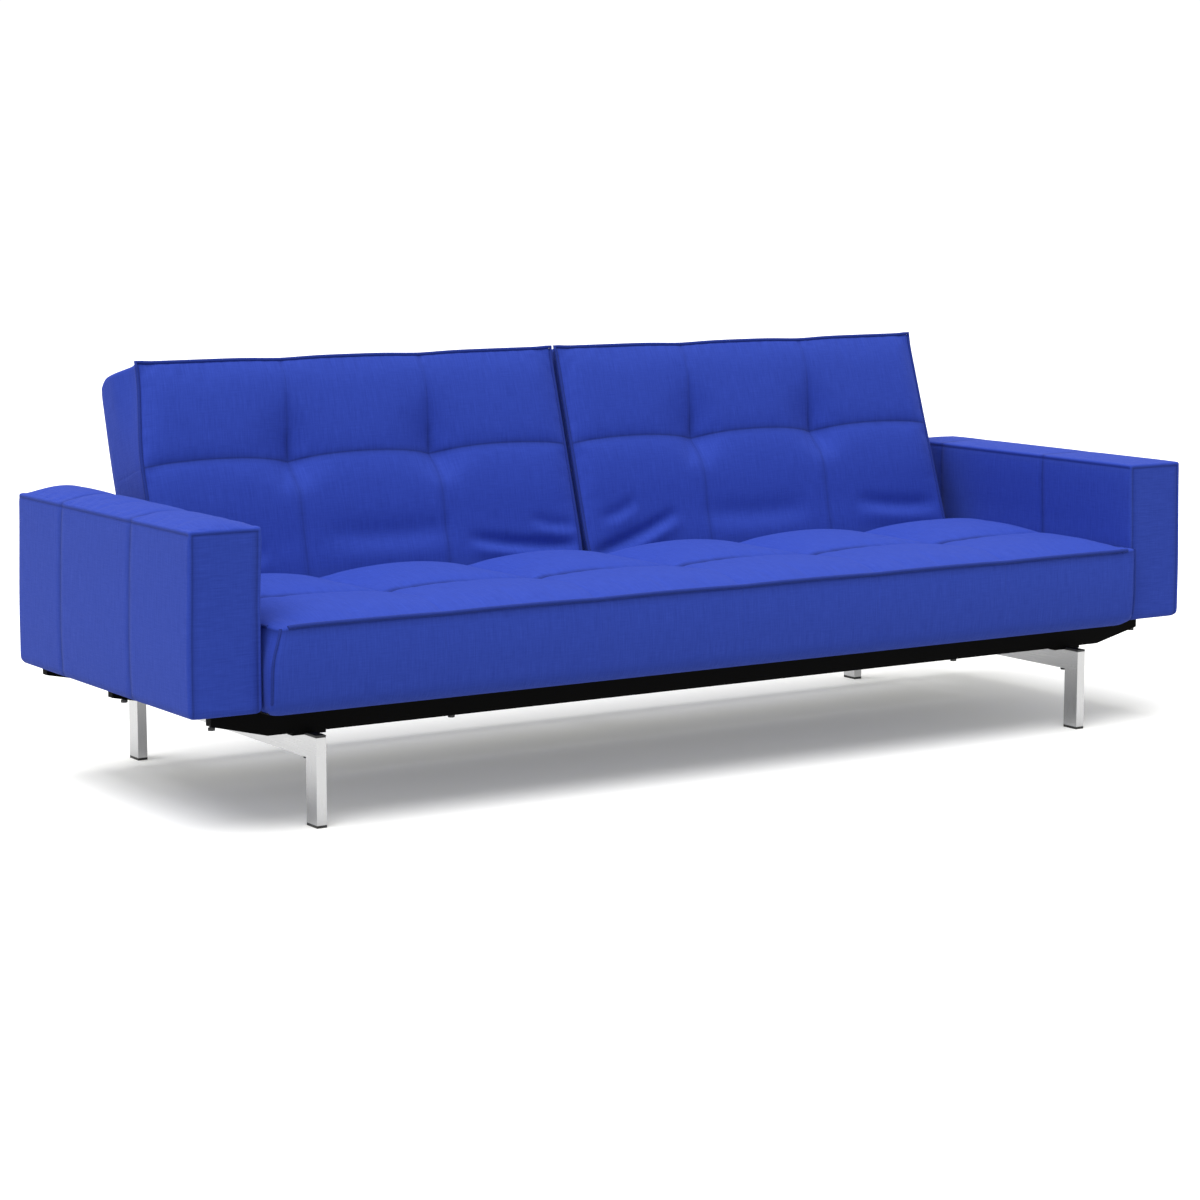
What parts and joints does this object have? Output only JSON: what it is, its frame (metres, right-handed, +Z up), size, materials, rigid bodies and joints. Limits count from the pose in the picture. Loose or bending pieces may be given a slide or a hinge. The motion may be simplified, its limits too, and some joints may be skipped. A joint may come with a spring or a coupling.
{
  "type": "futon sofa bed",
  "caption": "Sofa bed with a wide padded seat, a split back that folds flat on ratchet hinges, padded box arms and steel tube legs under a black rail base.",
  "frame": {"origin": "on the floor, under the middle of the whole sofa's width and depth, set for sitting", "axes": "+Z up, -Y towards the front where people sit, +X to the right as seen from the front"},
  "size_m": [2.32, 0.838, 0.8048],
  "materials": {
    "upholstery": "royal blue woven cloth with a fine slub",
    "piping": "royal blue woven cloth over a cord",
    "foam": "cream polyurethane foam",
    "slat_wood": "lacquered beech ply",
    "board_wood": "raw board",
    "frame_tube": "dark grey powder coat",
    "leg_steel": "satin brushed",
    "black_steel": "satin black powder coat",
    "black_plastic": "black moulded plastic",
    "zinc_steel": "zinc plated",
    "hardened_steel": "oiled, blackened steel",
    "rubber": "black rubber"
  },
  "bodies": {
    "base": {"front_rail": "black_steel", "middle_rail": "black_steel", "rear_rail": "black_steel", "left_rail_wedges": "black_steel", "right_rail_wedges": "black_steel", "left_bearer": "black_steel", "right_bearer": "black_steel", "centre_bearer": "black_steel", "left_leg_bar": "leg_steel", "left_front_post": "leg_steel", "left_rear_post": "leg_steel", "right_leg_bar": "leg_steel", "right_front_post": "leg_steel", "right_rear_post": "leg_steel", "leg_top_caps": "black_plastic", "leg_glides": "black_plastic", "leg_mounting_plates": "black_steel", "leg_bolts": "zinc_steel", "seat_frame": "frame_tube", "seat_slats": "slat_wood", "seat_core": "foam", "seat_cover": "upholstery", "seat_piping": "piping", "seat_and_arm_bolts": "zinc_steel", "left_hinge_plate": "black_steel", "centre_hinge_plate": "black_steel", "right_hinge_plate": "black_steel", "hinge_plate_bolts": "zinc_steel", "left_ratchet": "hardened_steel", "right_ratchet": "hardened_steel", "centre_pivot_pin": "zinc_steel", "back_rest_pads": "rubber", "left_arm_frame": "board_wood", "left_arm_foam": "foam", "left_arm_cover": "upholstery", "right_arm_frame": "board_wood", "right_arm_foam": "foam", "right_arm_cover": "upholstery"},
    "back_left": {"left_back_frame": "frame_tube", "left_back_slats": "slat_wood", "left_back_core": "foam", "left_back_cover": "upholstery", "left_back_piping": "piping", "left_outer_hinge_arm": "black_steel", "left_inner_hinge_arm": "black_steel", "left_hinge_arm_bolts": "zinc_steel", "left_pivot_nut": "zinc_steel", "left_pawl_spring": "zinc_steel"},
    "pawl_left": {"left_pawl": "hardened_steel"},
    "back_right": {"right_back_frame": "frame_tube", "right_back_slats": "slat_wood", "right_back_core": "foam", "right_back_cover": "upholstery", "right_back_piping": "piping", "right_outer_hinge_arm": "black_steel", "right_inner_hinge_arm": "black_steel", "right_hinge_arm_bolts": "zinc_steel", "right_pivot_nut": "zinc_steel", "right_pawl_spring": "zinc_steel"},
    "pawl_right": {"right_pawl": "hardened_steel"}
  },
  "joints": [
    {"name": "left_back_recline", "type": "hinge", "parent": "base", "child": "back_left", "pos_m": [0, 0.2222, 0.28], "axis": [-1, 0, 0], "range_deg": [0, 73]},
    {"name": "left_pawl_swing", "type": "hinge", "parent": "back_left", "child": "pawl_left", "pos_m": [0, 0.26067, 0.31007], "axis": [-1, 0, 0], "range_deg": [0, 12], "stiffness_Nm_per_rad": 0.05, "springref_deg": -34.38},
    {"name": "right_back_recline", "type": "hinge", "parent": "base", "child": "back_right", "pos_m": [0, 0.2222, 0.28], "axis": [-1, 0, 0], "range_deg": [0, 73]},
    {"name": "right_pawl_swing", "type": "hinge", "parent": "back_right", "child": "pawl_right", "pos_m": [0, 0.26067, 0.31007], "axis": [-1, 0, 0], "range_deg": [0, 12], "stiffness_Nm_per_rad": 0.05, "springref_deg": -34.38}
  ]
}
